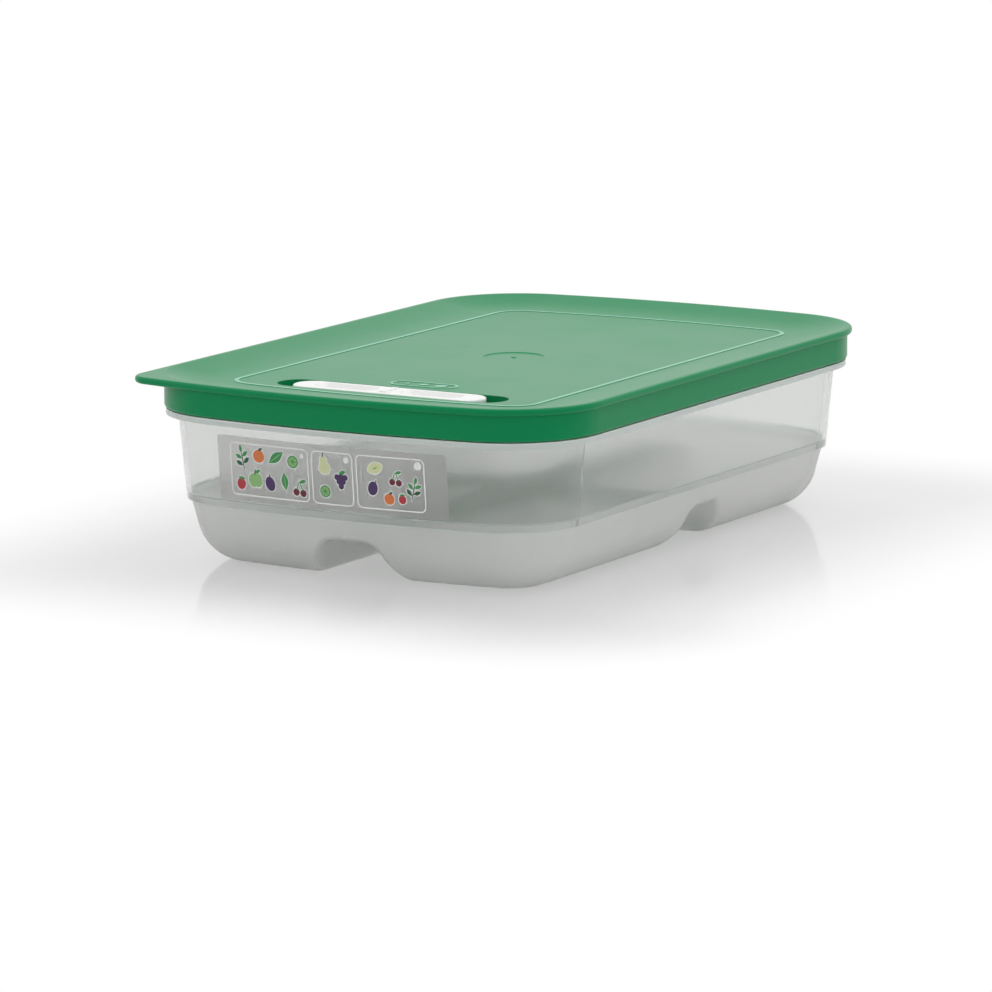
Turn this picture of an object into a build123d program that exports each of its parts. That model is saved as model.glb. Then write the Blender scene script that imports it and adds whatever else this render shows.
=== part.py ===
"""A flat fridge keeper for produce: clear tub, soft lid and a sliding air vent.

Millimetres, +Z up. The origin is the middle of the tub's footprint, on the surface that its
four feet stand on. The front, with the vent and the guide label, faces -Y.
Insets are measured inwards, level, from the outside of the lid's skirt.
"""

from build123d import *
from math import atan2, cos, degrees, radians, sqrt, tan
import os

# Plan of the keeper, at the outside of the lid's skirt
LID_WIDTH = 177.0
LID_LENGTH = 265.0
LIP_OVERHANG = 1.75
CORNER_RADIUS = 35.5
END_BOW_RADIUS = 440.0
HALF_WIDTH = LID_WIDTH / 2 - LIP_OVERHANG
HALF_LENGTH = LID_LENGTH / 2 - LIP_OVERHANG

# Heights of the tub
FLOOR_THICKNESS = 1.6
WALL = 1.4
STEP_BOTTOM = 22.9
STEP_TOP = 25.7
FLANGE_HEIGHT = 2.1
RIM_BELOW_TOP = 3.0

# Slopes of the tub, as insets of its outside
FLANGE_INSET = 0.6
NECK_INSET = 5.0
STEP_TOP_INSET = 7.6
STEP_BOTTOM_INSET = 9.3
LOWER_DRAFT = 15.0
BOTTOM_EDGE_RADIUS = 17.0
STEP_ROUNDING = 0.4

# Rim of the tub
FLANGE_THICKNESS = 1.2
FLANGE_LIP = 1.3
RIM_BEAD_HEIGHT = 2.2
RIM_ROUNDING = 0.7

# Crossed channels that leave four feet
CHANNEL_HEIGHT = 14.8
CHANNEL_TOP_WIDTH = 21.0
CHANNEL_BOTTOM_WIDTH = 38.0
CHANNEL_CEILING_RADIUS = 8.0
FOOT_CORNER_RADIUS = 10.0
CHANNEL_EDGE_RADIUS = 2.6
SIDE_CHANNEL_Y = 10.0

# Lid
SIDE_GAP = 0.4
SEAT_GAP = 0.3
LID_TOP = 68.4
LIP_HEIGHT = 2.6
LIP_ROUNDING = 1.1
SKIRT_HEIGHT = 12.1
SKIRT_WALL = 1.8
SKIRT_ROUNDING = 1.2
LID_WALL = 1.6
PLUG_WALL = 1.4
PLUG_DEPTH = 6.2
DISH_DEPTH = 3.4
DISH_START = 0.6
DISH_END = 23.0
DISH_STEPS = 4
TAB_RADIUS = 9.0

# Raised marks on the lid
MARK_HEIGHT = 0.15
FRAME_INSET = 24.4
FRAME_SHIFT = 1.5
FRAME_LINE = 1.7
GAUGE_LENGTH = 27.0
GAUGE_WIDTH = 9.6
GAUGE_LINE = 1.1
GAUGE_X = 5.0
GAUGE_TO_POCKET = 17.0
GAUGE_DOTS = (1.2, 1.8, 2.4)
GAUGE_DOT_PITCH = 7.0
GATE_DIAMETER = 22.0
GATE_DEPTH = 0.3
GATE_NUB = 2.4
GATE_SLOPE = 60.0

# Vent
POCKET_LENGTH = 93.6
POCKET_WIDTH = 15.7
POCKET_X = 1.8
POCKET_FROM_FRONT = 42.5
POCKET_DEPTH = 3.2
SLIDER_LENGTH = 78.0
SLIDER_GAP = 0.5
SLIDER_PROUD = 0.1
SLIDER_REST = -1.3
END_CLEARANCE = 0.3
RUNNING_GAP = 0.3
SCOOP_LENGTH = 26.0
SCOOP_WIDTH = 9.4
SCOOP_DEPTH = 1.5
SCOOP_SLOPE = 45.0
SCOOP_SPACING = 9.0
GRIP_THICKNESS = 3.0
GRIP_HEIGHT = 0.5
GRIP_SLOPE = 30.0
SLIDER_ROUNDING = 0.8
HOLE_DIAMETER = 4.4
LEFT_HOLE_X = -33.0
RIGHT_HOLE_X = 27.0
UNDERCUT = 0.9
PAD_MARGIN = 0.7
STEM_LENGTH = 5.0
STEM_WIDTH = 3.6
STEM_X = 12.4
SLOT_GAP = 0.4
KEEPER_LENGTH = 34.4
KEEPER_WIDTH = 12.0
KEEPER_THICKNESS = 1.4
SOCKET_GAP = 0.1
BARB_REACH = 0.6
BARB_HEIGHT = 0.8
BARB_SLOPE = 30.0

# Guide label on the front
LABEL_WIDTH = 95.0
LABEL_X = -4.0
LABEL_ABOVE_STEP = 0.8
LABEL_BELOW_FLANGE = 3.9
LABEL_FILM = 0.15
LABEL_LIFT = 0.03
LABEL_CORNER = 1.5

CORNERS = ((1, 1), (-1, 1), (-1, -1), (1, -1))
TAB_CORNER = (-1, -1)

# Lengths and slopes that tell edges apart
TOLERANCE = 0.01
STEEP = 0.5


def corner_arc(radius):
    """Centre and sweep of a corner arc that runs into the straight side and the bowed end."""
    across = HALF_WIDTH - radius
    end_centre = HALF_LENGTH - END_BOW_RADIUS
    along = end_centre + sqrt((END_BOW_RADIUS - radius) ** 2 - across**2)
    swing = degrees(atan2(along - end_centre, across))
    return across, along, swing


def plan(height, inset, tab=False):
    """The keeper's plan at a height, moved inwards; the tab squares its front left corner."""
    arcs = {}
    for corner in CORNERS:
        squared = tab and corner == TAB_CORNER
        radius = TAB_RADIUS - LIP_OVERHANG if squared else CORNER_RADIUS
        arcs[corner] = (radius, *corner_arc(radius))
    with BuildSketch(Plane.XY.offset(height), mode=Mode.PRIVATE) as sketch:
        with BuildLine():
            for (side, end), (radius, across, along, swing) in arcs.items():
                start = 90 - 90 * side if side == end else 90 - 90 * side - swing
                CenterArc((side * across, end * along), radius - inset, start, swing)
            for side in (1, -1):
                x = side * (HALF_WIDTH - inset)
                Line((x, -arcs[side, -1][2]), (x, arcs[side, 1][2]))
            for end in (1, -1):
                first, last = arcs[end, end][3], arcs[-end, end][3]
                centre = (0, end * (HALF_LENGTH - END_BOW_RADIUS))
                start = first + (0 if end > 0 else 180)
                CenterArc(centre, END_BOW_RADIUS - inset, start, 180 - first - last)
        make_face()
    return sketch.sketch


def ring(bottom, top, outer, inner):
    """A band of the keeper's plan between two insets."""
    with BuildPart(mode=Mode.PRIVATE) as band:
        extrude(plan(bottom, outer), amount=top - bottom)
        extrude(plan(bottom, inner), amount=top - bottom, mode=Mode.SUBTRACT)
    return band.part


def channels(grow):
    """The crossed channels under the tub, grown on every side."""
    flank = atan2((CHANNEL_BOTTOM_WIDTH - CHANNEL_TOP_WIDTH) / 2, CHANNEL_HEIGHT)
    height = CHANNEL_HEIGHT + grow
    bottom = CHANNEL_BOTTOM_WIDTH / 2 + grow / cos(flank)
    top = bottom - height * tan(flank)
    side_plane = Plane(origin=(0, SIDE_CHANNEL_Y, 0), x_dir=(0, 1, 0), z_dir=(1, 0, 0))
    with BuildPart(mode=Mode.PRIVATE) as cross:
        for plane, reach in ((Plane.XZ, LID_LENGTH), (side_plane, LID_WIDTH)):
            with BuildSketch(plane):
                with BuildLine():
                    Polyline((-bottom, 0), (-top, height), (top, height), (bottom, 0), close=True)
                make_face()
            extrude(amount=reach, both=True)
        inner_corners = cross.edges().filter_by(
            lambda e: abs(e.tangent_at(0.5).Z) > STEEP
            and abs(e.center().X) < LID_WIDTH / 2
            and abs(e.center().Y) < LID_LENGTH / 2
        )
        fillet(inner_corners, FOOT_CORNER_RADIUS - grow)
        ceiling = cross.faces().filter_by(Plane.XY).sort_by(Axis.Z)[-1]
        rims = ceiling.edges().filter_by(
            lambda e: abs(e.center().X) < LID_WIDTH - TOLERANCE
            and abs(e.center().Y) < LID_LENGTH - TOLERANCE
        )
        fillet(rims, CHANNEL_CEILING_RADIUS + grow)
    return cross.part


def neck(shrink, bottom):
    """The tub's clear upper wall as a solid block down to a height, moved inwards."""
    draft = degrees(atan2(STEP_TOP_INSET - NECK_INSET, FLANGE_BOTTOM - STEP_TOP))
    with BuildPart(mode=Mode.PRIVATE) as block:
        extrude(
            plan(FLANGE_BOTTOM, NECK_INSET + shrink),
            amount=bottom - FLANGE_BOTTOM,
            taper=draft,
        )
        extrude(plan(FLANGE_BOTTOM, NECK_INSET + shrink), amount=RIM_TOP - FLANGE_BOTTOM)
    return block.part


def tub(shrink, floor, ledge):
    """The footed tub without its rim as a solid block, moved inwards, with its two levels."""
    foot_inset = STEP_BOTTOM_INSET + shrink - (ledge - STEP_BOTTOM) * tan(radians(LOWER_DRAFT))
    with BuildPart(mode=Mode.PRIVATE) as body:
        extrude(plan(ledge, foot_inset), amount=floor - ledge, taper=LOWER_DRAFT)
        fillet(body.faces().sort_by(Axis.Z)[0].edges(), BOTTOM_EDGE_RADIUS - shrink)
        add(neck(shrink, ledge))
        step = body.edges().filter_by(lambda e: abs(e.center().Z - ledge) < TOLERANCE)
        fillet(step, STEP_ROUNDING)
    whole = body.part
    cross = channels(shrink)
    with BuildPart(mode=Mode.PRIVATE) as footed:
        add(whole)
        add(cross, mode=Mode.SUBTRACT)
        foot_edges = new_edges(whole, cross, combined=footed.part)
        fillet(foot_edges, CHANNEL_EDGE_RADIUS - shrink)
    return footed.part


def dish(drop):
    """The hollow of the lid's top, lowered by drop: level inside, then curving up to the lip."""
    floor = LID_TOP - DISH_DEPTH - drop
    with BuildPart(mode=Mode.PRIVATE) as hollow:
        sections = []
        for step in range(DISH_STEPS + 1):
            share = step / DISH_STEPS
            rise = DISH_DEPTH * (1 - cos(radians(90 * share)))
            sections.append(plan(floor + rise, DISH_END + (DISH_START - DISH_END) * share))
        loft(sections)
        extrude(plan(floor + DISH_DEPTH, DISH_START), amount=LIP_HEIGHT + drop)
    return hollow.part


def capsule(height, centre, length, width):
    """A slot's outline, long in X, at a height."""
    with BuildSketch(Plane.XY.offset(height), mode=Mode.PRIVATE) as sketch:
        with Locations(centre):
            SlotOverall(length, width)
    return sketch.sketch


def in_pocket(x):
    """A place on the pocket's middle line, x from the pocket's middle."""
    return POCKET_AT[0] + x, POCKET_AT[1]


# Heights and places that follow
RIM_TOP = LID_TOP - RIM_BELOW_TOP
SKIRT_BOTTOM = LID_TOP - SKIRT_HEIGHT
FLANGE_TOP = SKIRT_BOTTOM - SEAT_GAP
FLANGE_BOTTOM = FLANGE_TOP - FLANGE_HEIGHT
GROOVE_TOP = RIM_TOP + SEAT_GAP
RIM_INSET = SKIRT_WALL + SIDE_GAP
PLUG_INSET = NECK_INSET + WALL + SIDE_GAP
PLUG_BOTTOM = GROOVE_TOP - PLUG_DEPTH
PANEL_TOP = LID_TOP - DISH_DEPTH
POCKET_AT = (POCKET_X, POCKET_FROM_FRONT - LID_LENGTH / 2)
GAUGE_AT = (GAUGE_X, POCKET_AT[1] + GAUGE_TO_POCKET)
POCKET_FLOOR = PANEL_TOP - POCKET_DEPTH
POCKET_UNDERSIDE = POCKET_FLOOR - LID_WALL
TRAVEL = POCKET_LENGTH - SLIDER_LENGTH
CLOSED_X = END_CLEARANCE - TRAVEL / 2
OPEN_X = TRAVEL / 2 - END_CLEARANCE
SLIDER_BOTTOM = POCKET_FLOOR + RUNNING_GAP
SLIDER_TOP = PANEL_TOP + SLIDER_PROUD
SLIDER_WIDTH = POCKET_WIDTH - 2 * SLIDER_GAP
KEEPER_TOP = POCKET_UNDERSIDE - RUNNING_GAP
KEEPER_BOTTOM = KEEPER_TOP - KEEPER_THICKNESS
LABEL_BOTTOM = STEP_TOP + LABEL_ABOVE_STEP
LABEL_TOP = FLANGE_BOTTOM - LABEL_BELOW_FLANGE

# Tub: one moulding with a flanged rim and four hollow feet
tub_outside = tub(0, 0, STEP_BOTTOM)
tub_inside = tub(WALL, FLOOR_THICKNESS, STEP_TOP)
flange_web = ring(FLANGE_TOP - FLANGE_THICKNESS, FLANGE_TOP, FLANGE_INSET, NECK_INSET + WALL / 2)
flange_lip = ring(FLANGE_BOTTOM, FLANGE_TOP, FLANGE_INSET, FLANGE_INSET + FLANGE_LIP)
rim_bead = ring(RIM_TOP - RIM_BEAD_HEIGHT, RIM_TOP, RIM_INSET, NECK_INSET + WALL / 2)
with BuildPart() as base:
    add(tub_outside)
    add(flange_web)
    add(flange_lip)
    add(rim_bead)
    add(tub_inside, mode=Mode.SUBTRACT)
    fillet(base.faces().sort_by(Axis.Z)[-1].edges(), RIM_ROUNDING)
base.part.label = "base"

# Lid: one soft moulding with a skirt, a plug wall, a dished top, a vent pocket and a pull tab
dish_top = dish(0)
dish_underside = dish(LID_WALL)
groove = ring(SKIRT_BOTTOM, GROOVE_TOP, SKIRT_WALL, PLUG_INSET)
with BuildPart() as under_panel:
    extrude(plan(SKIRT_BOTTOM, PLUG_INSET + PLUG_WALL), amount=LID_TOP - SKIRT_BOTTOM)
    add(dish_underside, mode=Mode.SUBTRACT)
with BuildPart() as lid_lip:
    extrude(plan(LID_TOP - LIP_HEIGHT, -LIP_OVERHANG, tab=True), amount=LIP_HEIGHT)
    lip_edges = lid_lip.edges().filter_by(Plane.XY)
    fillet(lip_edges, LIP_ROUNDING)
with BuildPart() as lid:
    extrude(plan(SKIRT_BOTTOM, 0), amount=LID_TOP - SKIRT_BOTTOM)
    fillet(lid.faces().sort_by(Axis.Z)[0].edges(), SKIRT_ROUNDING)
    add(lid_lip.part)
    add(dish_top, mode=Mode.SUBTRACT)
    extrude(plan(SKIRT_BOTTOM, SKIRT_WALL), amount=PLUG_BOTTOM - SKIRT_BOTTOM, mode=Mode.SUBTRACT)
    add(groove, mode=Mode.SUBTRACT)
    add(under_panel.part, mode=Mode.SUBTRACT)
    # Pocket for the slider
    shell_length = POCKET_LENGTH + 2 * LID_WALL
    shell_width = POCKET_WIDTH + 2 * LID_WALL
    extrude(
        capsule(POCKET_UNDERSIDE, POCKET_AT, shell_length, shell_width),
        amount=PANEL_TOP - LID_WALL / 2 - POCKET_UNDERSIDE,
    )
    extrude(
        capsule(POCKET_FLOOR, POCKET_AT, POCKET_LENGTH, POCKET_WIDTH),
        amount=POCKET_DEPTH + MARK_HEIGHT,
        mode=Mode.SUBTRACT,
    )
    # Vent holes and the slots that the slider's stems run in
    with BuildSketch(Plane.XY.offset(POCKET_UNDERSIDE)):
        with Locations(*(in_pocket(x) for x in (LEFT_HOLE_X, RIGHT_HOLE_X))):
            Circle(HOLE_DIAMETER / 2)
        with Locations(*(in_pocket(x) for x in (-STEM_X, STEM_X))):
            Rectangle(STEM_LENGTH + TRAVEL + 2 * SLOT_GAP, STEM_WIDTH + 2 * SLOT_GAP)
    extrude(amount=LID_WALL, mode=Mode.SUBTRACT)
    # Raised frame line and the vent gauge
    frame_place = Location((0, FRAME_SHIFT, 0))
    frame_outside = plan(PANEL_TOP, FRAME_INSET).moved(frame_place)
    frame_inside = plan(PANEL_TOP, FRAME_INSET + FRAME_LINE).moved(frame_place)
    extrude(frame_outside, amount=MARK_HEIGHT)
    extrude(frame_inside, amount=MARK_HEIGHT, mode=Mode.SUBTRACT)
    inner_length = GAUGE_LENGTH - 2 * GAUGE_LINE
    inner_width = GAUGE_WIDTH - 2 * GAUGE_LINE
    extrude(capsule(PANEL_TOP, GAUGE_AT, GAUGE_LENGTH, GAUGE_WIDTH), amount=MARK_HEIGHT)
    extrude(
        capsule(PANEL_TOP, GAUGE_AT, inner_length, inner_width),
        amount=MARK_HEIGHT,
        mode=Mode.SUBTRACT,
    )
    with BuildSketch(Plane.XY.offset(PANEL_TOP)):
        for place, dot in enumerate(GAUGE_DOTS):
            with Locations((GAUGE_X + (place - 1) * GAUGE_DOT_PITCH, GAUGE_AT[1])):
                Circle(dot)
    extrude(amount=MARK_HEIGHT)
    # Shallow ring and nub that the moulding gate leaves in the middle
    with BuildSketch(Plane.XY.offset(PANEL_TOP - GATE_DEPTH)):
        Circle(GATE_DIAMETER / 2)
        Circle(GATE_NUB / 2, mode=Mode.SUBTRACT)
    extrude(amount=GATE_DEPTH, taper=-GATE_SLOPE, mode=Mode.SUBTRACT)
lid.part.label = "lid"

# Vent slider: a cap with two thumb scoops, two sealing pads below and two snap stems
slider_at = in_pocket(SLIDER_REST)
stem_places = [in_pocket(SLIDER_REST + x) for x in (-STEM_X, STEM_X)]
scoop_x = (SCOOP_SPACING + SCOOP_LENGTH) / 2
left_pad = (LEFT_HOLE_X, SLIDER_REST)
right_pad = (RIGHT_HOLE_X, CLOSED_X)
pad_reach = HOLE_DIAMETER / 2 + PAD_MARGIN
with BuildPart() as vent_slider:
    extrude(
        capsule(SLIDER_BOTTOM, slider_at, SLIDER_LENGTH, SLIDER_WIDTH),
        amount=SLIDER_TOP - SLIDER_BOTTOM,
    )
    fillet(vent_slider.faces().sort_by(Axis.Z)[-1].edges(), SLIDER_ROUNDING)
    # Scoops
    for side in (-1, 1):
        scoop_at = in_pocket(SLIDER_REST + side * scoop_x)
        extrude(
            capsule(SLIDER_TOP, scoop_at, SCOOP_LENGTH, SCOOP_WIDTH),
            amount=-SCOOP_DEPTH,
            taper=SCOOP_SLOPE,
            mode=Mode.SUBTRACT,
        )
    # Grip bar
    with BuildSketch(Plane.XY.offset(SLIDER_TOP)):
        with Locations(slider_at):
            Rectangle(GRIP_THICKNESS, SCOOP_WIDTH)
    extrude(amount=GRIP_HEIGHT, taper=GRIP_SLOPE)
    # Hollow below, with pads left where a vent hole is shut
    with BuildSketch(Plane.XY.offset(SLIDER_BOTTOM)):
        with Locations(slider_at):
            SlotOverall(SLIDER_LENGTH - 2 * UNDERCUT, SLIDER_WIDTH - 2 * UNDERCUT)
        for hole_x, first_x in (left_pad, right_pad):
            low = SLIDER_REST + hole_x - first_x - pad_reach
            high = SLIDER_REST + hole_x - CLOSED_X + pad_reach
            with Locations(in_pocket((low + high) / 2)):
                Rectangle(high - low, SLIDER_WIDTH, mode=Mode.SUBTRACT)
    extrude(amount=UNDERCUT, mode=Mode.SUBTRACT)
    # Stems through the pocket floor, each with a snap barb under the keeper
    with BuildSketch(Plane.XY.offset(KEEPER_BOTTOM - SOCKET_GAP)):
        with Locations(*stem_places):
            Rectangle(STEM_LENGTH, STEM_WIDTH)
    extrude(amount=SLIDER_BOTTOM + UNDERCUT - KEEPER_BOTTOM + SOCKET_GAP)
    with BuildSketch(Plane.XY.offset(KEEPER_BOTTOM - SOCKET_GAP)):
        with Locations(*stem_places):
            Rectangle(STEM_LENGTH + 2 * BARB_REACH, STEM_WIDTH)
    extrude(amount=-BARB_HEIGHT, taper=BARB_SLOPE)
vent_slider.part.label = "vent_slider"

# Vent keeper: the plate under the pocket floor that the stems snap into
with BuildPart() as vent_keeper:
    extrude(
        capsule(KEEPER_BOTTOM, slider_at, KEEPER_LENGTH, KEEPER_WIDTH),
        amount=KEEPER_THICKNESS,
    )
    with BuildSketch(Plane.XY.offset(KEEPER_BOTTOM)):
        with Locations(*stem_places):
            Rectangle(STEM_LENGTH + 2 * SOCKET_GAP, STEM_WIDTH + 2 * SOCKET_GAP)
    extrude(amount=KEEPER_THICKNESS, mode=Mode.SUBTRACT)
vent_keeper.part.label = "vent_keeper"

# Guide label: a thin film on the front of the clear wall
film_outside = neck(-LABEL_LIFT - LABEL_FILM, STEP_BOTTOM)
film_inside = neck(-LABEL_LIFT, STEP_BOTTOM)
with BuildPart() as guide_label:
    add(film_outside)
    add(film_inside, mode=Mode.SUBTRACT)
    with BuildSketch(Plane.XZ.offset(HALF_LENGTH / 2)):
        with Locations((LABEL_X, (LABEL_BOTTOM + LABEL_TOP) / 2)):
            RectangleRounded(LABEL_WIDTH, LABEL_TOP - LABEL_BOTTOM, LABEL_CORNER)
    extrude(amount=HALF_LENGTH, mode=Mode.INTERSECT)
guide_label.part.label = "guide_label"

os.makedirs("parts", exist_ok=True)
for piece in (base, lid, vent_slider, vent_keeper, guide_label):
    export_step(piece.part, f"parts/{piece.part.label}.step")
    print(piece.part.label, round(piece.part.volume), piece.part.bounding_box())
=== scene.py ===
"""Looks of a flat produce keeper: clear footed tub, soft green lid, white vent slider and label.

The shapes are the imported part's own. This file gives them their finishes, prints the label and
sets the stage.
Metres, +Z up, in the part's own frame.
"""

import math

import bmesh
import bpy
from bpy.props import FloatProperty, FloatVectorProperty, PointerProperty
from mathutils import Matrix, Vector


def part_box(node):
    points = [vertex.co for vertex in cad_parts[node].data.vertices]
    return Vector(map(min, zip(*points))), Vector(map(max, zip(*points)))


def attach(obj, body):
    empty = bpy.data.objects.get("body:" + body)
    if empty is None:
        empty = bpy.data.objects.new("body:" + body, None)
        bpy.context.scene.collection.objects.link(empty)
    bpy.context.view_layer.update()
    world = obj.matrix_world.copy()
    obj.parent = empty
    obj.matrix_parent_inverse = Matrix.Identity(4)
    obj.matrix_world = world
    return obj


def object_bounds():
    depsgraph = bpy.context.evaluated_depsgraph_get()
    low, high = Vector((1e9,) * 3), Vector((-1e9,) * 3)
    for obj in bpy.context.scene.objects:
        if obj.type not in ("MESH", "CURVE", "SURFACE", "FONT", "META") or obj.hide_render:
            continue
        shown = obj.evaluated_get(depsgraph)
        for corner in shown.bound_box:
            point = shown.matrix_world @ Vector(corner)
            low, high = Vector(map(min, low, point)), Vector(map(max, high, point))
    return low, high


bl_info = {
    "name": "Produce Keeper Looks",
    "version": (1, 0, 0),
    "blender": (4, 5, 0),
    "location": "View3D > Sidebar > Keeper",
    "description": "Finishes, label print and stage for a produce keeper",
    "category": "Object",
}

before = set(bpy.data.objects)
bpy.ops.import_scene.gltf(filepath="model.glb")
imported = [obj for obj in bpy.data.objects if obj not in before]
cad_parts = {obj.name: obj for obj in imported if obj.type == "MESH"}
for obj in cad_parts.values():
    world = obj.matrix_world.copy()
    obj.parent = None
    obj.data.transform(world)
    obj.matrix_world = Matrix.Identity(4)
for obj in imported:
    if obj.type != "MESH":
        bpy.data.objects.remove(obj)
cad_low, cad_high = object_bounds()

MM = 0.001

# Heights on the part where a finish changes
STEP_BOTTOM = 22.9 * MM
STEP_TOP = 25.7 * MM
PANEL_TOP = 65.0 * MM
MARK_TOP = 65.15 * MM
FLANGE_BOTTOM = 53.9 * MM
FLANGE_TOP = 56.0 * MM

# Faces that reach below this are frosted
FROST_MARGIN = 0.5 * MM
FROST_TOP = STEP_BOTTOM - FROST_MARGIN

# Ledges and the flange get a whitish painted highlight: bottom and top of each band
LEDGE_REACH = 0.45 * MM
FLANGE_MARGIN = 0.05 * MM
EDGE_HIGHLIGHT_BANDS = (
    (STEP_BOTTOM - LEDGE_REACH, STEP_BOTTOM + LEDGE_REACH),
    (STEP_TOP - LEDGE_REACH, STEP_TOP + LEDGE_REACH),
    (FLANGE_BOTTOM - FLANGE_MARGIN, FLANGE_TOP + FLANGE_MARGIN),
)

# Front wall that the label follows: a bow in plan, leaning in by a depth over a height
END_BOW_RADIUS = 440.0 * MM
LEAN_DEPTH = 2.6 * MM
LEAN_HEIGHT = 28.2 * MM
FRONT_LEAN = LEAN_DEPTH / LEAN_HEIGHT
FILM_TOP_INSET = 5.18 * MM
FILM_LOW, FILM_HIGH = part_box("guide_label")


# Shader parts

# Broad ripples of a moulding and slow clouds of its tone, per metre
RIPPLES = 70.0
CLOUDS = 22.0
BAND_SOFTNESS = 0.0002


def put(tree, kind, settings=None, **sockets):
    """Adds a node, sets its options, and sets or links its inputs."""
    node = tree.nodes.new(kind)
    for name, value in (settings or {}).items():
        setattr(node, name, value)
    for name, value in sockets.items():
        key = int(name[1:]) if name[-1].isdigit() else name.replace("_", " ")
        socket = node.inputs[key]
        if isinstance(value, bpy.types.NodeSocket):
            tree.links.new(value, socket)
        else:
            socket.default_value = value
    return node


def arithmetic(tree, operation, first, second=0.0, third=0.0):
    """A Math node's result."""
    node = put(tree, "ShaderNodeMath", {"operation": operation}, i0=first, i1=second, i2=third)
    return node.outputs[0]


def vector_math(tree, operation, first, second=(0.0, 0.0, 0.0)):
    """A Vector Math node's result."""
    node = put(tree, "ShaderNodeVectorMath", {"operation": operation}, i0=first, i1=second)
    return node.outputs[0]


def blend_colour(tree, factor, first, second):
    """A colour between two, by a factor."""
    node = put(tree, "ShaderNodeMix", {"data_type": "RGBA"}, i0=factor, i6=first, i7=second)
    return node.outputs[2]


def smooth_step(tree, value, start, end, low=0.0, high=1.0):
    """A value carried smoothly from one range to another."""
    settings = {"interpolation_type": "SMOOTHSTEP"}
    node = put(tree, "ShaderNodeMapRange", settings, i0=value, i1=start, i2=end, i3=low, i4=high)
    return node.outputs[0]


def start_group(name, inputs, outputs):
    """A new shader group with its sockets, as (tree, input node, output node)."""
    tree = bpy.data.node_groups.new(name, "ShaderNodeTree")
    for label, kind, value in inputs:
        socket = tree.interface.new_socket(name=label, in_out="INPUT", socket_type=kind)
        socket.default_value = value
    for label, kind in outputs:
        tree.interface.new_socket(name=label, in_out="OUTPUT", socket_type=kind)
    return tree, tree.nodes.new("NodeGroupInput"), tree.nodes.new("NodeGroupOutput")


def moulded_grain():
    """Fine satin grain of a mould, as a normal."""
    name = "Moulded grain"
    if name in bpy.data.node_groups:
        return bpy.data.node_groups[name]
    tree, given, made = start_group(
        name,
        (
            ("Grains per metre", "NodeSocketFloat", 2500.0),
            ("Depth", "NodeSocketFloat", 0.00004),
            ("Ripple", "NodeSocketFloat", 0.0),
        ),
        (("Normal", "NodeSocketVector"),),
    )
    where = tree.nodes.new("ShaderNodeTexCoord").outputs["Object"]
    fine = put(tree, "ShaderNodeTexNoise", Vector=where, Scale=given.outputs[0], Detail=2.0)
    broad = put(tree, "ShaderNodeTexNoise", Vector=where, Scale=RIPPLES, Detail=1.0)
    ripple = arithmetic(tree, "MULTIPLY", broad.outputs[0], given.outputs[2])
    height = arithmetic(tree, "ADD", fine.outputs[0], ripple)
    bump = put(tree, "ShaderNodeBump", Height=height, Distance=given.outputs[1], Strength=1.0)
    tree.links.new(bump.outputs[0], made.inputs[0])
    return tree


def height_band():
    """Mask of a level band between two heights."""
    name = "Height band"
    if name in bpy.data.node_groups:
        return bpy.data.node_groups[name]
    tree, given, made = start_group(
        name,
        (
            ("Bottom", "NodeSocketFloat", 0.0),
            ("Top", "NodeSocketFloat", 1.0),
            ("Softness", "NodeSocketFloat", BAND_SOFTNESS),
        ),
        (("Mask", "NodeSocketFloat"),),
    )
    where = tree.nodes.new("ShaderNodeTexCoord").outputs["Object"]
    height = put(tree, "ShaderNodeSeparateXYZ", Vector=where).outputs[2]
    low, high, soft = given.outputs[0], given.outputs[1], given.outputs[2]
    masks = []
    for edge in (low, high):
        start = arithmetic(tree, "SUBTRACT", edge, soft)
        end = arithmetic(tree, "ADD", edge, soft)
        masks.append(smooth_step(tree, height, start, end))
    tree.links.new(arithmetic(tree, "SUBTRACT", *masks), made.inputs[0])
    return tree


def resin_tone():
    """Slow drift of colour and gloss that a moulding shows."""
    name = "Resin tone"
    if name in bpy.data.node_groups:
        return bpy.data.node_groups[name]
    tree, given, made = start_group(
        name,
        (
            ("Colour", "NodeSocketColor", (1.0, 1.0, 1.0, 1.0)),
            ("Drift", "NodeSocketFloat", 0.06),
            ("Roughness", "NodeSocketFloat", 0.4),
            ("Gloss drift", "NodeSocketFloat", 0.06),
        ),
        (("Colour", "NodeSocketColor"), ("Roughness", "NodeSocketFloat")),
    )
    where = tree.nodes.new("ShaderNodeTexCoord").outputs["Object"]
    cloud = put(tree, "ShaderNodeTexNoise", Vector=where, Scale=CLOUDS, Detail=3.0).outputs[0]
    swing = arithmetic(tree, "MULTIPLY_ADD", cloud, 2.0, -1.0)
    bright = arithmetic(tree, "MULTIPLY_ADD", swing, given.outputs[1], 1.0)
    tone = put(tree, "ShaderNodeHueSaturation", Value=bright, Color=given.outputs[0])
    rough = arithmetic(tree, "MULTIPLY_ADD", swing, given.outputs[3], given.outputs[2])
    tree.links.new(tone.outputs[0], made.inputs[0])
    tree.links.new(rough, made.inputs[1])
    return tree


def put_group(tree, group, **sockets):
    """Places a shader group in a tree."""
    return put(tree, "ShaderNodeGroup", {"node_tree": group}, **sockets)


def put_tone(tree, colour, roughness, drift, gloss_drift):
    """Places the slow drift of colour and gloss."""
    return put_group(
        tree, resin_tone(), Colour=colour, Drift=drift, Roughness=roughness, Gloss_drift=gloss_drift
    )


def put_grain(tree, per_metre, depth, ripple):
    """Places the satin grain of a mould and gives its normal."""
    settings = {"Grains_per_metre": per_metre, "Depth": depth, "Ripple": ripple}
    return put_group(tree, moulded_grain(), **settings).outputs[0]


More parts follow.
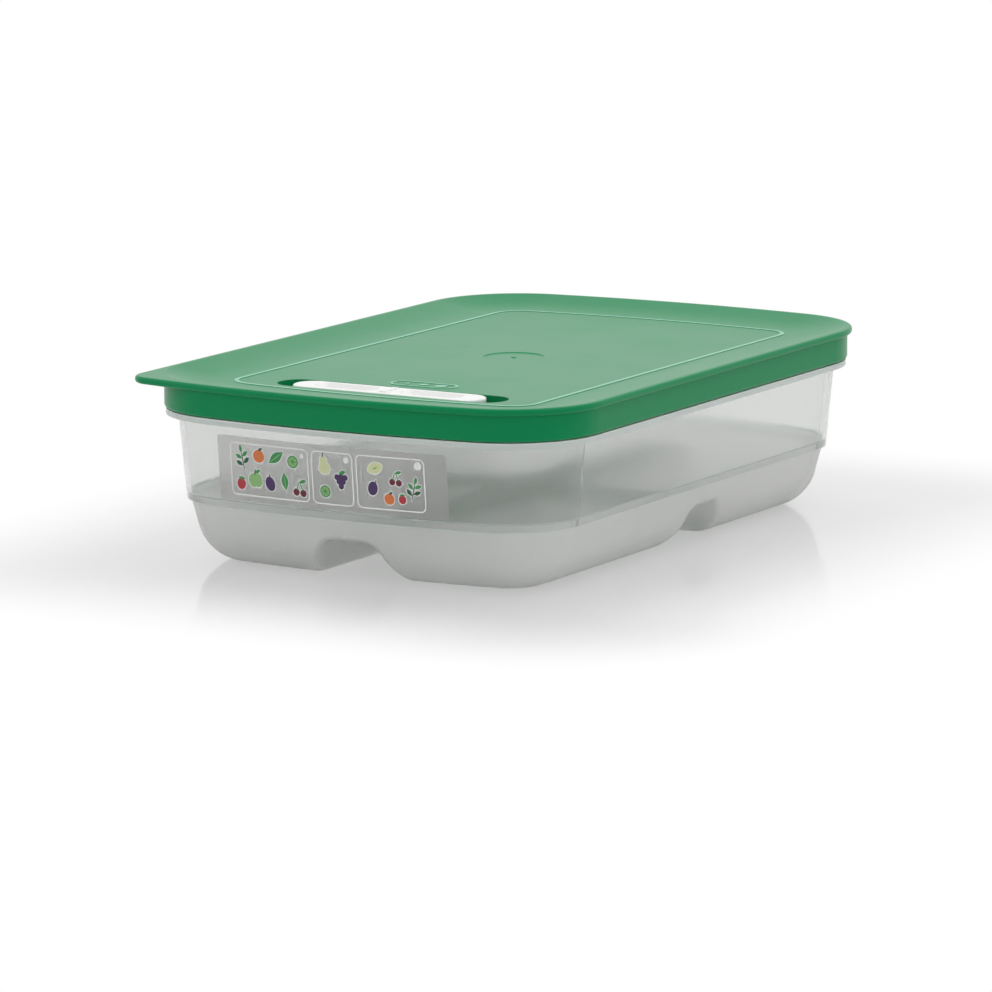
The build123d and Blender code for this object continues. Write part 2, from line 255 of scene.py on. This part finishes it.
def plastic(tree, tone, **sockets):
    """A plastic's shader with a tone's colour and gloss."""
    return put(
        tree,
        "ShaderNodeBsdfPrincipled",
        Base_Color=tone.outputs[0],
        Roughness=tone.outputs[1],
        **sockets,
    )


def band(tree, bottom, top, softness=BAND_SOFTNESS):
    """Mask of a level band, placed in a material."""
    return put_group(tree, height_band(), Bottom=bottom, Top=top, Softness=softness).outputs[0]


def new_material(name):
    """An empty node material, as (material, tree, surface socket)."""
    material = bpy.data.materials.new(name)
    material.use_nodes = True
    tree = material.node_tree
    tree.nodes.clear()
    return material, tree, tree.nodes.new("ShaderNodeOutputMaterial").inputs["Surface"]


def finish_node(node_name, *materials):
    """Gives a CAD node its finishes."""
    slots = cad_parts[node_name].data.materials
    slots.clear()
    for material in materials:
        slots.append(material)


# Finishes

# Refraction of each plastic. The lid's is low, since a soft plastic has little shine face on and
# a pale sheen along the surface.
LID_IOR = 1.2
LID_SHEEN = 0.1
VENT_IOR = 1.5
VENT_COAT = 0.2
TUB_IOR = 1.49
FILM_IOR = 1.3
FILM_SHARE = 0.92

# Share of the light that each finish lets straight through in its shadow
CLEAR_SHADOW = 0.85
FROSTED_SHADOW = 0.7
EDGE_SHADOW = 0.7
FILM_SHADOW = 0.9

# Grain of each finish: grains per metre, depth in metres and ripple. The lid's first is a setting.
LID_GRAIN = (0.00003, 1.5)
VENT_GRAIN = (3500.0, 0.000008, 0.5)
CLEAR_GRAIN = (900.0, 0.00001, 3.0)
FROSTED_GRAIN = (2200.0, 0.00003, 1.0)
FILM_GRAIN = (1800.0, 0.00003, 0.0)
INK_GRAIN = (2500.0, 0.00001, 0.0)

# Slow drift of each finish: of its colour and of its gloss
LID_DRIFT = (0.05, 0.05)
VENT_DRIFT = (0.02, 0.04)
CLEAR_DRIFT = (0.01, 0.03)
FROSTED_DRIFT = (0.02, 0.05)
EDGE_DRIFT = (0.02, 0.05)
FILM_DRIFT = (0.02, 0.05)
INK_DRIFT = (0.1, 0.05)

# How matte the film and the inks are
FILM_ROUGHNESS = 0.4
INK_ROUGHNESS = 0.45

# Raised marks of the lid, which get a painted highlight: their band of heights, and how level a face
# has to be to count
MARK_LOW = (PANEL_TOP + MARK_TOP) / 2
MARK_HIGH = MARK_TOP + 0.1 * MM
MARK_SOFTNESS = 0.05 * MM
MARK_LEVEL = (0.9994, 0.9999)

# Slots of the tub's finishes
CLEAR_SLOT = 0
FROSTED_SLOT = 1
EDGE_SLOT = 2


def lid_finish(looks):
    """Soft green lid: satin grain, and a paler painted highlight on the raised marks."""
    material, tree, surface = new_material("Soft green lid")
    tone = put_tone(tree, looks.colour, looks.roughness, *LID_DRIFT)
    marks = band(tree, MARK_LOW, MARK_HIGH, MARK_SOFTNESS)
    facing = tree.nodes.new("ShaderNodeTexCoord").outputs["Normal"]
    level = put(tree, "ShaderNodeSeparateXYZ", Vector=facing).outputs[2]
    marks = arithmetic(tree, "MULTIPLY", marks, smooth_step(tree, level, *MARK_LEVEL))
    # Painted highlight: the level tops of the raised marks take a paler colour
    colour = blend_colour(tree, marks, tone.outputs[0], looks.mark_highlight_colour)
    shader = put(
        tree,
        "ShaderNodeBsdfPrincipled",
        Base_Color=colour,
        Roughness=tone.outputs[1],
        IOR=LID_IOR,
        Sheen_Weight=LID_SHEEN,
        Normal=put_grain(tree, looks.grain, *LID_GRAIN),
    )
    tree.links.new(shader.outputs[0], surface)
    return material


def vent_finish(looks):
    """White glossy moulding of the slider."""
    material, tree, surface = new_material("White vent")
    tone = put_tone(tree, looks.colour, looks.roughness, *VENT_DRIFT)
    normal = put_grain(tree, *VENT_GRAIN)
    shader = plastic(tree, tone, IOR=VENT_IOR, Normal=normal, Coat_Weight=VENT_COAT)
    tree.links.new(shader.outputs[0], surface)
    return material


def see_through(tree, shader, surface, light_through):
    """Lets a share of the light pass straight through, so that what is behind isn't left dark."""
    shadow = tree.nodes.new("ShaderNodeLightPath").outputs["Is Shadow Ray"]
    grey = (light_through, light_through, light_through, 1.0)
    clear = put(tree, "ShaderNodeBsdfTransparent", Color=grey)
    mix = put(tree, "ShaderNodeMixShader", i0=shadow, i1=shader.outputs[0], i2=clear.outputs[0])
    tree.links.new(mix.outputs[0], surface)


def clear_finish(looks):
    """Polished clear wall above the step, with a little haze."""
    material, tree, surface = new_material("Clear wall")
    tone = put_tone(tree, looks.clear_colour, looks.clear_roughness, *CLEAR_DRIFT)
    normal = put_grain(tree, *CLEAR_GRAIN)
    shader = plastic(tree, tone, IOR=TUB_IOR, Transmission_Weight=looks.clear_share, Normal=normal)
    see_through(tree, shader, surface, CLEAR_SHADOW)
    return material


def frosted_finish(looks):
    """Frosted wall below the step."""
    material, tree, surface = new_material("Frosted wall")
    tone = put_tone(tree, looks.frosted_colour, looks.frosted_roughness, *FROSTED_DRIFT)
    normal = put_grain(tree, *FROSTED_GRAIN)
    shader = plastic(tree, tone, IOR=TUB_IOR, Transmission_Weight=looks.frosted_share, Normal=normal)
    see_through(tree, shader, surface, FROSTED_SHADOW)
    return material


def edge_highlight_finish(looks):
    """Painted highlight on the wall's ledges and rims: a whitish, less clear finish where they catch
    the light.
    """
    material, tree, surface = new_material("Painted edge highlight")
    tone = put_tone(tree, looks.edge_highlight_colour, looks.edge_roughness, *EDGE_DRIFT)
    shader = plastic(tree, tone, IOR=TUB_IOR, Transmission_Weight=looks.edge_share)
    see_through(tree, shader, surface, EDGE_SHADOW)
    return material


def film_finish(looks):
    """Matte clear film of the label."""
    material, tree, surface = new_material("Label film")
    tone = put_tone(tree, looks.film_colour, FILM_ROUGHNESS, *FILM_DRIFT)
    normal = put_grain(tree, *FILM_GRAIN)
    shader = plastic(tree, tone, IOR=FILM_IOR, Transmission_Weight=FILM_SHARE, Normal=normal)
    see_through(tree, shader, surface, FILM_SHADOW)
    return material


def ink_finish():
    """Printed inks: each shape keeps its own colour, with the fine grain of the print."""
    material, tree, surface = new_material("Label inks")
    ink = put(tree, "ShaderNodeAttribute", {"attribute_name": "ink"}).outputs["Color"]
    tone = put_tone(tree, ink, INK_ROUGHNESS, *INK_DRIFT)
    shader = plastic(tree, tone, Normal=put_grain(tree, *INK_GRAIN))
    tree.links.new(shader.outputs[0], surface)
    return material


# Label print: plain fruit and leaves in three frames. Inks are linear colours.

WHITE = (0.95, 0.96, 0.95, 1.0)
DARK_GREEN = (0.012, 0.09, 0.035, 1.0)
GREEN = (0.045, 0.27, 0.08, 1.0)
LIGHT_GREEN = (0.28, 0.52, 0.2, 1.0)
CREAM = (0.7, 0.74, 0.42, 1.0)
ORANGE = (0.72, 0.19, 0.05, 1.0)
RED = (0.45, 0.03, 0.04, 1.0)
WINE = (0.13, 0.008, 0.025, 1.0)
PURPLE = (0.055, 0.018, 0.1, 1.0)

# Each motif is a few ovals: x, z, half width, half height, turn in degrees, pinch of the ends, ink
MOTIFS = {
    "apple": (
        (-0.75, 0.0, 1.5, 1.9, 0, 0, LIGHT_GREEN),
        (0.75, 0.0, 1.5, 1.9, 0, 0, LIGHT_GREEN),
        (0.15, 2.2, 0.22, 0.9, -15, 0, DARK_GREEN),
        (1.1, 2.4, 1.0, 0.45, 25, 0.9, GREEN),
    ),
    "pear": (
        (0.0, -0.8, 1.75, 1.6, 0, 0, CREAM),
        (0.0, 1.0, 1.05, 1.5, 0, 0, CREAM),
        (0.1, 2.8, 0.2, 0.7, -10, 0, DARK_GREEN),
    ),
    "cherries": (
        (-1.2, -1.2, 1.1, 1.1, 0, 0, WINE),
        (1.2, -1.4, 1.1, 1.1, 0, 0, WINE),
        (-0.6, 0.7, 0.18, 1.5, -20, 0, GREEN),
        (0.6, 0.6, 0.18, 1.6, 20, 0, GREEN),
        (1.2, 2.1, 1.3, 0.55, 15, 0.9, GREEN),
    ),
    "plum": (
        (0.0, 0.0, 1.6, 2.1, 18, 0, PURPLE),
        (-0.1, 2.3, 0.2, 0.6, 10, 0, DARK_GREEN),
    ),
    "grapes": (
        (-1.3, 1.0, 0.85, 0.85, 0, 0, PURPLE),
        (0.0, 1.2, 0.85, 0.85, 0, 0, PURPLE),
        (1.3, 1.0, 0.85, 0.85, 0, 0, PURPLE),
        (-0.65, -0.2, 0.85, 0.85, 0, 0, PURPLE),
        (0.65, -0.2, 0.85, 0.85, 0, 0, PURPLE),
        (0.0, -1.5, 0.85, 0.85, 0, 0, PURPLE),
        (0.5, 2.4, 1.2, 0.6, 20, 0.8, GREEN),
    ),
    "orange": (
        (0.0, 0.0, 1.9, 1.85, 0, 0, ORANGE),
        (0.6, 2.0, 0.9, 0.4, 25, 0.9, DARK_GREEN),
    ),
    "lemon": (
        (0.0, 0.0, 2.5, 1.6, 20, 0.35, CREAM),
        (0.0, 0.0, 0.9, 0.3, 20, 0.9, LIGHT_GREEN),
    ),
    "lime": (
        (0.0, 0.0, 1.9, 1.9, 0, 0, GREEN),
        (0.0, 0.0, 1.5, 1.5, 0, 0, LIGHT_GREEN),
        (0.0, 0.0, 1.4, 0.12, 0, 0, GREEN),
        (0.0, 0.0, 1.4, 0.12, 60, 0, GREEN),
        (0.0, 0.0, 1.4, 0.12, 120, 0, GREEN),
    ),
    "leaf": (
        (0.0, 0.0, 3.1, 1.35, 35, 0.85, GREEN),
        (0.0, 0.0, 2.6, 0.12, 35, 0, LIGHT_GREEN),
    ),
    "sprig": (
        (0.0, -0.2, 0.16, 2.9, 0, 0, DARK_GREEN),
        (-1.2, -0.9, 1.3, 0.6, -35, 0.9, DARK_GREEN),
        (1.2, -0.4, 1.3, 0.6, 35, 0.9, DARK_GREEN),
        (-1.1, 0.9, 1.2, 0.55, -35, 0.9, GREEN),
        (1.1, 1.4, 1.2, 0.55, 35, 0.9, GREEN),
        (0.0, 2.9, 0.5, 1.1, 0, 0.7, GREEN),
    ),
    "berry": (
        (0.0, 0.0, 1.35, 1.5, 0, 0, RED),
        (0.0, 1.5, 1.2, 0.4, 0, 0.9, GREEN),
    ),
}

# Motif, x and z in millimetres from the film's middle, size, turn in degrees
PLACES = (
    ("sprig", -36.5, 3.6, 1.05, 10),
    ("orange", -29.3, 5.3, 1.0, 0),
    ("leaf", -21.8, 5.5, 1.0, 0),
    ("lime", -14.6, 4.6, 0.95, 0),
    ("berry", -37.6, -5.4, 1.1, -8),
    ("apple", -31.2, -3.6, 1.05, 5),
    ("plum", -24.8, -4.3, 1.0, 0),
    ("leaf", -18.4, -2.8, 0.85, 60),
    ("cherries", -12.2, -4.8, 0.95, 0),
    ("pear", -1.4, 4.6, 1.05, 8),
    ("grapes", 5.4, -0.6, 1.0, 0),
    ("lime", -1.4, -4.9, 0.9, 15),
    ("lemon", 19.4, 5.2, 1.0, 0),
    ("cherries", 27.4, 2.0, 0.85, 0),
    ("sprig", 34.4, -1.8, 1.0, -14),
    ("plum", 18.2, -2.2, 0.95, -30),
    ("orange", 24.6, -5.6, 0.85, 0),
    ("berry", 29.8, -5.4, 0.85, 0),
)

# Left, right, and the size of the dot in the top corner of each frame, in millimetres
PANELS = ((-42.0, -8.0, 0.8), (-6.8, 10.4, 1.15), (11.6, 39.0, 1.5))
PANEL_HALF_HEIGHT = 9.7
PANEL_CORNER = 2.2
PANEL_CORNER_SIDES = 6
PANEL_LINE = 0.5
DOT_INSET = 2.6
CUT_STEP = 3
OVAL_SIDES = 20
MOTIF_GROWTH = 1.28

# White rim round each oval, and the share of the oval's pinch that it keeps
HALO = 0.34
HALO_PINCH = 0.8

# Height of a layer, the layers that halo and ink start on, and what each next oval adds
INK_STEP = 0.05
HALO_LAYER = 1
HALO_RISE = 0.1
INK_LAYER = 2
INK_RISE = 0.3


def lay_oval(bm, inks, middle, half_width, half_height, turn, pinch, ink, layer):
    """Lays one oval of ink flat, at its layer's height."""
    made = bmesh.ops.create_circle(bm, cap_ends=True, segments=OVAL_SIDES, radius=1.0)["verts"]
    for vert in made:
        vert.co.y *= 1.0 - pinch * vert.co.x**2
    place = (
        Matrix.Translation((middle[0], middle[1], layer * INK_STEP))
        @ Matrix.Rotation(math.radians(turn), 4, "Z")
        @ Matrix.Diagonal((half_width, half_height, 1.0, 1.0))
    )
    bmesh.ops.transform(bm, matrix=place, verts=made)
    for face in {face for vert in made for face in vert.link_faces}:
        for loop in face.loops:
            loop[inks] = ink


def lay_motif(bm, inks, name, x, z, size, turn):
    """Lays a motif's white halo, then its ovals."""
    swing = Matrix.Rotation(math.radians(turn), 2)
    size *= MOTIF_GROWTH
    for step, (dx, dz, half_width, half_height, lean, pinch, ink) in enumerate(MOTIFS[name]):
        middle = Vector((x, z)) + size * (swing @ Vector((dx, dz)))
        wide, high = size * half_width, size * half_height
        angle = lean + turn
        rim = HALO_LAYER + step * HALO_RISE
        lay_oval(bm, inks, middle, wide + HALO, high + HALO, angle, pinch * HALO_PINCH, WHITE, rim)
        lay_oval(bm, inks, middle, wide, high, angle, pinch, ink, INK_LAYER + step * INK_RISE)


def lay_frame(bm, inks, left, right):
    """Lays one rounded outline."""
    earlier = set(bm.faces)
    grid = bmesh.ops.create_grid(bm, x_segments=1, y_segments=1, size=0.5)["verts"]
    place = Matrix.Translation(((left + right) / 2, 0.0, INK_STEP)) @ Matrix.Diagonal(
        (right - left, 2 * PANEL_HALF_HEIGHT, 1.0, 1.0)
    )
    bmesh.ops.transform(bm, matrix=place, verts=grid)
    bmesh.ops.bevel(
        bm,
        geom=grid,
        offset=PANEL_CORNER,
        affect="VERTICES",
        segments=PANEL_CORNER_SIDES,
        profile=0.5,
        material=-1,
    )
    face = next(face for face in bm.faces if face not in earlier)
    bmesh.ops.inset_region(bm, faces=[face], thickness=PANEL_LINE, use_boundary=True)
    bmesh.ops.delete(bm, geom=[face], context="FACES")
    # Cuts across, close enough for the line to follow the bow
    for cut in range(round(left) + 1, round(right), CUT_STEP):
        rim = [part for part in bm.faces if part not in earlier]
        edges = {edge for part in rim for edge in part.edges}
        verts = {vert for part in rim for vert in part.verts}
        bmesh.ops.bisect_plane(
            bm,
            geom=[*rim, *edges, *verts],
            plane_co=(cut, 0.0, 0.0),
            plane_no=(1.0, 0.0, 0.0),
        )
    for part in bm.faces:
        if part not in earlier:
            for loop in part.loops:
                loop[inks] = WHITE


def wrap_on_wall(bm):
    """Carries the flat print, in millimetres, onto the film's bowed and leaning front."""
    middle = (FILM_LOW + FILM_HIGH) / 2
    for vert in bm.verts:
        x = middle.x + vert.co.x * MM
        z = middle.z + vert.co.y * MM
        lift = vert.co.z * MM
        top_radius = END_BOW_RADIUS - FILM_TOP_INSET
        radius = top_radius - (FILM_HIGH.z - z) * FRONT_LEAN
        y = FILM_LOW.y + top_radius - math.sqrt(radius**2 - x**2)
        vert.co = (x, y - lift, z)


# Settings


class LidLooks(bpy.types.PropertyGroup):
    """Lid colours and surface."""

    colour: FloatVectorProperty(
        name="Lid colour",
        description="Colour of the soft lid",
        subtype="COLOR",
        size=4,
        min=0.0,
        max=1.0,
        default=(0.0, 0.262, 0.088, 1.0),
    )
    # Painted highlight colour of the raised frame line and vent gauge
    mark_highlight_colour: FloatVectorProperty(
        name="Raised mark highlight",
        description="Painted highlight colour of the raised frame line and vent gauge",
        subtype="COLOR",
        size=4,
        min=0.0,
        max=1.0,
        default=(0.22, 0.6, 0.4, 1.0),
    )
    roughness: FloatProperty(
        name="Roughness",
        description="How matte the lid is",
        subtype="FACTOR",
        min=0.0,
        max=1.0,
        default=0.3,
    )
    grain: FloatProperty(
        name="Grain",
        description="Grains per metre in the satin surface",
        min=100.0,
        max=9000.0,
        default=2600.0,
    )


class VentLooks(bpy.types.PropertyGroup):
    """Vent slider colour and gloss."""

    colour: FloatVectorProperty(
        name="Slider colour",
        description="Colour of the vent slider",
        subtype="COLOR",
        size=4,
        min=0.0,
        max=1.0,
        default=(0.95, 0.955, 0.94, 1.0),
    )
    roughness: FloatProperty(
        name="Roughness",
        description="How matte the slider is",
        subtype="FACTOR",
        min=0.0,
        max=1.0,
        default=0.22,
    )


class TubLooks(bpy.types.PropertyGroup):
    """Clear and frosted tub walls."""

    clear_colour: FloatVectorProperty(
        name="Clear tint",
        description="Tint of the polished wall",
        subtype="COLOR",
        size=4,
        min=0.0,
        max=1.0,
        default=(0.875, 0.885, 0.875, 1.0),
    )
    clear_roughness: FloatProperty(
        name="Clear haze",
        description="Roughness of the polished wall",
        subtype="FACTOR",
        min=0.0,
        max=1.0,
        default=0.1,
    )
    clear_share: FloatProperty(
        name="Clear share",
        description="Share of light that passes the polished wall",
        subtype="FACTOR",
        min=0.0,
        max=1.0,
        default=0.93,
    )
    frosted_colour: FloatVectorProperty(
        name="Frosted tint",
        description="Tint of the frosted wall",
        subtype="COLOR",
        size=4,
        min=0.0,
        max=1.0,
        default=(1.0, 1.0, 0.99, 1.0),
    )
    frosted_roughness: FloatProperty(
        name="Frosted haze",
        description="Roughness of the frosted wall",
        subtype="FACTOR",
        min=0.0,
        max=1.0,
        default=0.5,
    )
    frosted_share: FloatProperty(
        name="Frosted share",
        description="Share of light that passes the frosted wall",
        subtype="FACTOR",
        min=0.0,
        max=1.0,
        default=0.7,
    )
    # Whitish colour painted on the ledges and flange as a highlight
    edge_highlight_colour: FloatVectorProperty(
        name="Edge highlight tint",
        description="Tint of the edges with the painted highlight",
        subtype="COLOR",
        size=4,
        min=0.0,
        max=1.0,
        default=(0.82, 0.88, 0.85, 1.0),
    )
    edge_roughness: FloatProperty(
        name="Edge haze",
        description="Roughness of the edges with the painted highlight",
        subtype="FACTOR",
        min=0.0,
        max=1.0,
        default=0.4,
    )
    edge_share: FloatProperty(
        name="Edge share",
        description="Share of light that passes the edges with the painted highlight",
        subtype="FACTOR",
        min=0.0,
        max=1.0,
        default=0.35,
    )


class LabelLooks(bpy.types.PropertyGroup):
    """Label film and ink."""

    film_colour: FloatVectorProperty(
        name="Film tint",
        description="Tint of the label film",
        subtype="COLOR",
        size=4,
        min=0.0,
        max=1.0,
        default=(0.86, 0.85, 0.845, 1.0),
    )
    ink_thickness: FloatProperty(
        name="Ink thickness",
        description="Thickness of each printed shape",
        subtype="DISTANCE",
        unit="LENGTH",
        default=0.00002,
    )


class StageLooks(bpy.types.PropertyGroup):
    """Floor, light and camera."""

    floor_colour: FloatVectorProperty(
        name="Floor colour",
        description="Colour of the plain floor",
        subtype="COLOR",
        size=4,
        min=0.0,
        max=1.0,
        default=(0.8, 0.8, 0.8, 1.0),
    )
    lamp_power: FloatProperty(
        name="Lamp power",
        description="Power of the big soft lamp overhead",
        unit="POWER",
        min=0.0,
        default=11.0,
    )
    sky: FloatProperty(
        name="Sky",
        description="Strength of the light from all round",
        min=0.0,
        default=0.5,
    )
    lens: FloatProperty(
        name="Lens",
        description="Focal length of the camera in millimetres",
        min=20.0,
        default=223.5,
    )


# Operators


class KEEPER_OT_dress_lid(bpy.types.Operator):
    """Finish the lid"""

    bl_idname = "keeper.dress_lid"
    bl_label = "Lid"

    def execute(self, context):
        finish_node("lid", lid_finish(context.scene.keeper_lid))
        return {"FINISHED"}


class KEEPER_OT_dress_vent(bpy.types.Operator):
    """Finish the vent slider and the keeper plate under it"""

    bl_idname = "keeper.dress_vent"
    bl_label = "Vent"

    def execute(self, context):
        white = vent_finish(context.scene.keeper_vent)
        finish_node("vent_slider", white)
        finish_node("vent_keeper", white)
        return {"FINISHED"}


class KEEPER_OT_dress_tub(bpy.types.Operator):
    """Finish the tub: polished above the step, frosted below, with a painted highlight on the ledges
    and flange
    """

    bl_idname = "keeper.dress_tub"
    bl_label = "Tub"

    def execute(self, context):
        looks = context.scene.keeper_tub
        finish_node("base", clear_finish(looks), frosted_finish(looks), edge_highlight_finish(looks))
        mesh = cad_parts["base"].data
        for face in mesh.polygons:
            heights = [mesh.vertices[vert].co.z for vert in face.vertices]
            low, high = min(heights), max(heights)
            # Faces within the ledge and flange bands take the painted edge highlight
            if any(bottom < low and high < top for bottom, top in EDGE_HIGHLIGHT_BANDS):
                face.material_index = EDGE_SLOT
            else:
                face.material_index = FROSTED_SLOT if low < FROST_TOP else CLEAR_SLOT
        return {"FINISHED"}


class KEEPER_OT_dress_film(bpy.types.Operator):
    """Finish the label film"""

    bl_idname = "keeper.dress_film"
    bl_label = "Label film"

    def execute(self, context):
        finish_node("guide_label", film_finish(context.scene.keeper_label))
        return {"FINISHED"}


class KEEPER_OT_print_label(bpy.types.Operator):
    """Print plain fruit and leaves in three frames on the label film"""

    bl_idname = "keeper.print_label"
    bl_label = "Label print"

    def execute(self, context):
        bm = bmesh.new()
        inks = bm.loops.layers.float_color.new("ink")
        for left, right, dot in PANELS:
            lay_frame(bm, inks, left, right)
            corner = (right - DOT_INSET, PANEL_HALF_HEIGHT - DOT_INSET)
            lay_oval(bm, inks, corner, dot, dot, 0, 0, WHITE, HALO_LAYER)
        for name, x, z, size, turn in PLACES:
            lay_motif(bm, inks, name, x, z, size, turn)
        wrap_on_wall(bm)
        mesh = bpy.data.meshes.new("label_print")
        bm.to_mesh(mesh)
        bm.free()
        mesh.materials.append(ink_finish())
        piece = bpy.data.objects.new("label_print", mesh)
        context.scene.collection.objects.link(piece)
        body = piece.modifiers.new("Ink thickness", "SOLIDIFY")
        body.thickness = context.scene.keeper_label.ink_thickness
        body.offset = 1.0
        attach(piece, "tub")
        return {"FINISHED"}


class KEEPER_OT_set_stage(bpy.types.Operator):
    """Set the floor, the light and the camera"""

    bl_idname = "keeper.set_stage"
    bl_label = "Stage"

    def execute(self, context):
        looks = context.scene.keeper_stage
        lay_floor(looks)
        light_sky(context.scene, looks)
        hang_lamps(looks)
        aim_camera(context.scene, looks)
        context.scene.view_settings.view_transform = "Standard"
        return {"FINISHED"}


# Stage

FLOOR_HALF = 8.0
# How far off the reflection fades out, its share by the keeper, and how blurred it is
REFLECTION_REACH = (0.0, 0.1)
REFLECTION = 0.3
REFLECTION_ROUGHNESS = 0.08
# Share of plain white in the floor by the keeper and away from it, and how far off it is all white
FLOOR_GLOW = (0.5, 1.0)
GLOW_REACH = (0.01, 0.1)
# Place and reach in metres, angles in degrees, sensor in millimetres
CAMERA_PLACE = (1.1178, -1.9443, 0.4093)
CAMERA_AZIMUTH = 30.067
CAMERA_ELEVATION = 10.023
CAMERA_ROLL = -0.242
CAMERA_REACH = 50.0
SENSOR_WIDTH = 36.0
# Place, size and share of the lamp power
LAMPS = (
    ((0.1, 0.35, 1.5), (1.6, 1.2), 1.0),
    ((-1.3, -0.9, 0.9), (0.8, 1.0), 0.3),
    ((1.5, -0.3, 0.8), (0.7, 0.9), 0.2),
)


def seen_share(tree):
    """1 where the camera, a reflection or a see-through wall shows the surface, else 0."""
    path = tree.nodes.new("ShaderNodeLightPath").outputs
    seen = arithmetic(tree, "MAXIMUM", path["Is Camera Ray"], path["Is Glossy Ray"])
    return arithmetic(tree, "MAXIMUM", seen, path["Is Transmission Ray"])


def lay_floor(looks):
    """A plain pale floor that keeps a soft shadow and a reflection that fades away from the keeper."""
    bm = bmesh.new()
    bmesh.ops.create_grid(bm, x_segments=1, y_segments=1, size=FLOOR_HALF)
    mesh = bpy.data.meshes.new("floor")
    bm.to_mesh(mesh)
    bm.free()
    floor = bpy.data.objects.new("floor", mesh)
    bpy.context.scene.collection.objects.link(floor)
    material, tree, surface = new_material("Pale floor")
    matte = put(tree, "ShaderNodeBsdfDiffuse", Color=looks.floor_colour)
    # Distance from the keeper's footprint, less its straight sides
    where = tree.nodes.new("ShaderNodeTexCoord").outputs["Object"]
    half = (cad_high - cad_low) / 2
    away = vector_math(tree, "ABSOLUTE", where)
    away = vector_math(tree, "SUBTRACT", away, (half.x, half.y, 0.0))
    away = vector_math(tree, "MAXIMUM", away, (0.0, 0.0, 0.0))
    distance = put(tree, "ShaderNodeVectorMath", {"operation": "LENGTH"}, i0=away).outputs["Value"]
    glow_here = smooth_step(tree, distance, *GLOW_REACH, *FLOOR_GLOW)
    white_share = arithmetic(tree, "MULTIPLY", seen_share(tree), glow_here)
    white = put(tree, "ShaderNodeEmission", Strength=1.0)
    lit = put(tree, "ShaderNodeMixShader", i0=white_share, i1=matte.outputs[0], i2=white.outputs[0])
    shine = smooth_step(tree, distance, *REFLECTION_REACH, REFLECTION, 0.0)
    mirror = put(tree, "ShaderNodeBsdfGlossy", Roughness=REFLECTION_ROUGHNESS)
    mix = put(tree, "ShaderNodeMixShader", i0=shine, i1=lit.outputs[0], i2=mirror.outputs[0])
    tree.links.new(mix.outputs[0], surface)
    mesh.materials.append(material)


def light_sky(scene, looks):
    """A white sky where it is seen, a plain soft light elsewhere."""
    world = bpy.data.worlds.new("Studio")
    world.use_nodes = True
    tree = world.node_tree
    tree.nodes.clear()
    strength = arithmetic(tree, "MAXIMUM", seen_share(tree), looks.sky)
    sky = put(tree, "ShaderNodeBackground", Color=(1.0, 1.0, 1.0, 1.0), Strength=strength)
    out = tree.nodes.new("ShaderNodeOutputWorld")
    tree.links.new(sky.outputs[0], out.inputs["Surface"])
    scene.world = world


def hang_lamps(looks):
    """Big soft lamps, all aimed at the keeper."""
    aim = (cad_low + cad_high) / 2
    for number, (place, size, share) in enumerate(LAMPS):
        data = bpy.data.lights.new(f"soft_lamp_{number}", "AREA")
        data.shape = "RECTANGLE"
        data.size, data.size_y = size
        data.energy = looks.lamp_power * share
        lamp = bpy.data.objects.new(data.name, data)
        lamp.location = place
        lamp.rotation_euler = (aim - Vector(place)).to_track_quat("-Z", "Y").to_euler()
        bpy.context.scene.collection.objects.link(lamp)


def aim_camera(scene, looks):
    """The camera at the photograph's place and angle."""
    data = bpy.data.cameras.new("photo_camera")
    data.sensor_width = SENSOR_WIDTH
    data.lens = looks.lens
    data.clip_end = CAMERA_REACH
    camera = bpy.data.objects.new("photo_camera", data)
    camera.location = CAMERA_PLACE
    turn = Matrix.Rotation(math.radians(CAMERA_AZIMUTH), 3, "Z")
    tilt = Matrix.Rotation(math.radians(90.0 - CAMERA_ELEVATION), 3, "X")
    roll = Matrix.Rotation(math.radians(CAMERA_ROLL), 3, "Z")
    camera.rotation_euler = (turn @ tilt @ roll).to_euler()
    scene.collection.objects.link(camera)
    scene.camera = camera


class KEEPER_PT_panel(bpy.types.Panel):
    """The keeper's looks in the sidebar"""

    bl_label = "Produce keeper"
    bl_space_type = "VIEW_3D"
    bl_region_type = "UI"
    bl_category = "Keeper"

    def draw(self, context):
        for group, operators in STEPS:
            box = self.layout.box()
            looks = getattr(context.scene, group)
            for name in looks.__annotations__:
                box.prop(looks, name)
            for operator in operators:
                box.operator(operator.bl_idname)


STEPS = (
    ("keeper_tub", (KEEPER_OT_dress_tub,)),
    ("keeper_lid", (KEEPER_OT_dress_lid,)),
    ("keeper_vent", (KEEPER_OT_dress_vent,)),
    ("keeper_label", (KEEPER_OT_dress_film, KEEPER_OT_print_label)),
    ("keeper_stage", (KEEPER_OT_set_stage,)),
)
LOOKS = {
    "keeper_tub": TubLooks,
    "keeper_lid": LidLooks,
    "keeper_vent": VentLooks,
    "keeper_label": LabelLooks,
    "keeper_stage": StageLooks,
}


def register():
    for name, group in LOOKS.items():
        bpy.utils.register_class(group)
        setattr(bpy.types.Scene, name, PointerProperty(type=group))
    for _, operators in STEPS:
        for operator in operators:
            bpy.utils.register_class(operator)
    bpy.utils.register_class(KEEPER_PT_panel)


def unregister():
    bpy.utils.unregister_class(KEEPER_PT_panel)
    for _, operators in STEPS:
        for operator in operators:
            bpy.utils.unregister_class(operator)
    for name, group in LOOKS.items():
        delattr(bpy.types.Scene, name)
        bpy.utils.unregister_class(group)


def main():
    register()
    bpy.ops.keeper.dress_tub()
    bpy.ops.keeper.dress_lid()
    bpy.ops.keeper.dress_vent()
    bpy.ops.keeper.dress_film()
    bpy.ops.keeper.print_label()
    bpy.ops.keeper.set_stage()


if __name__ == "__main__":
    main()
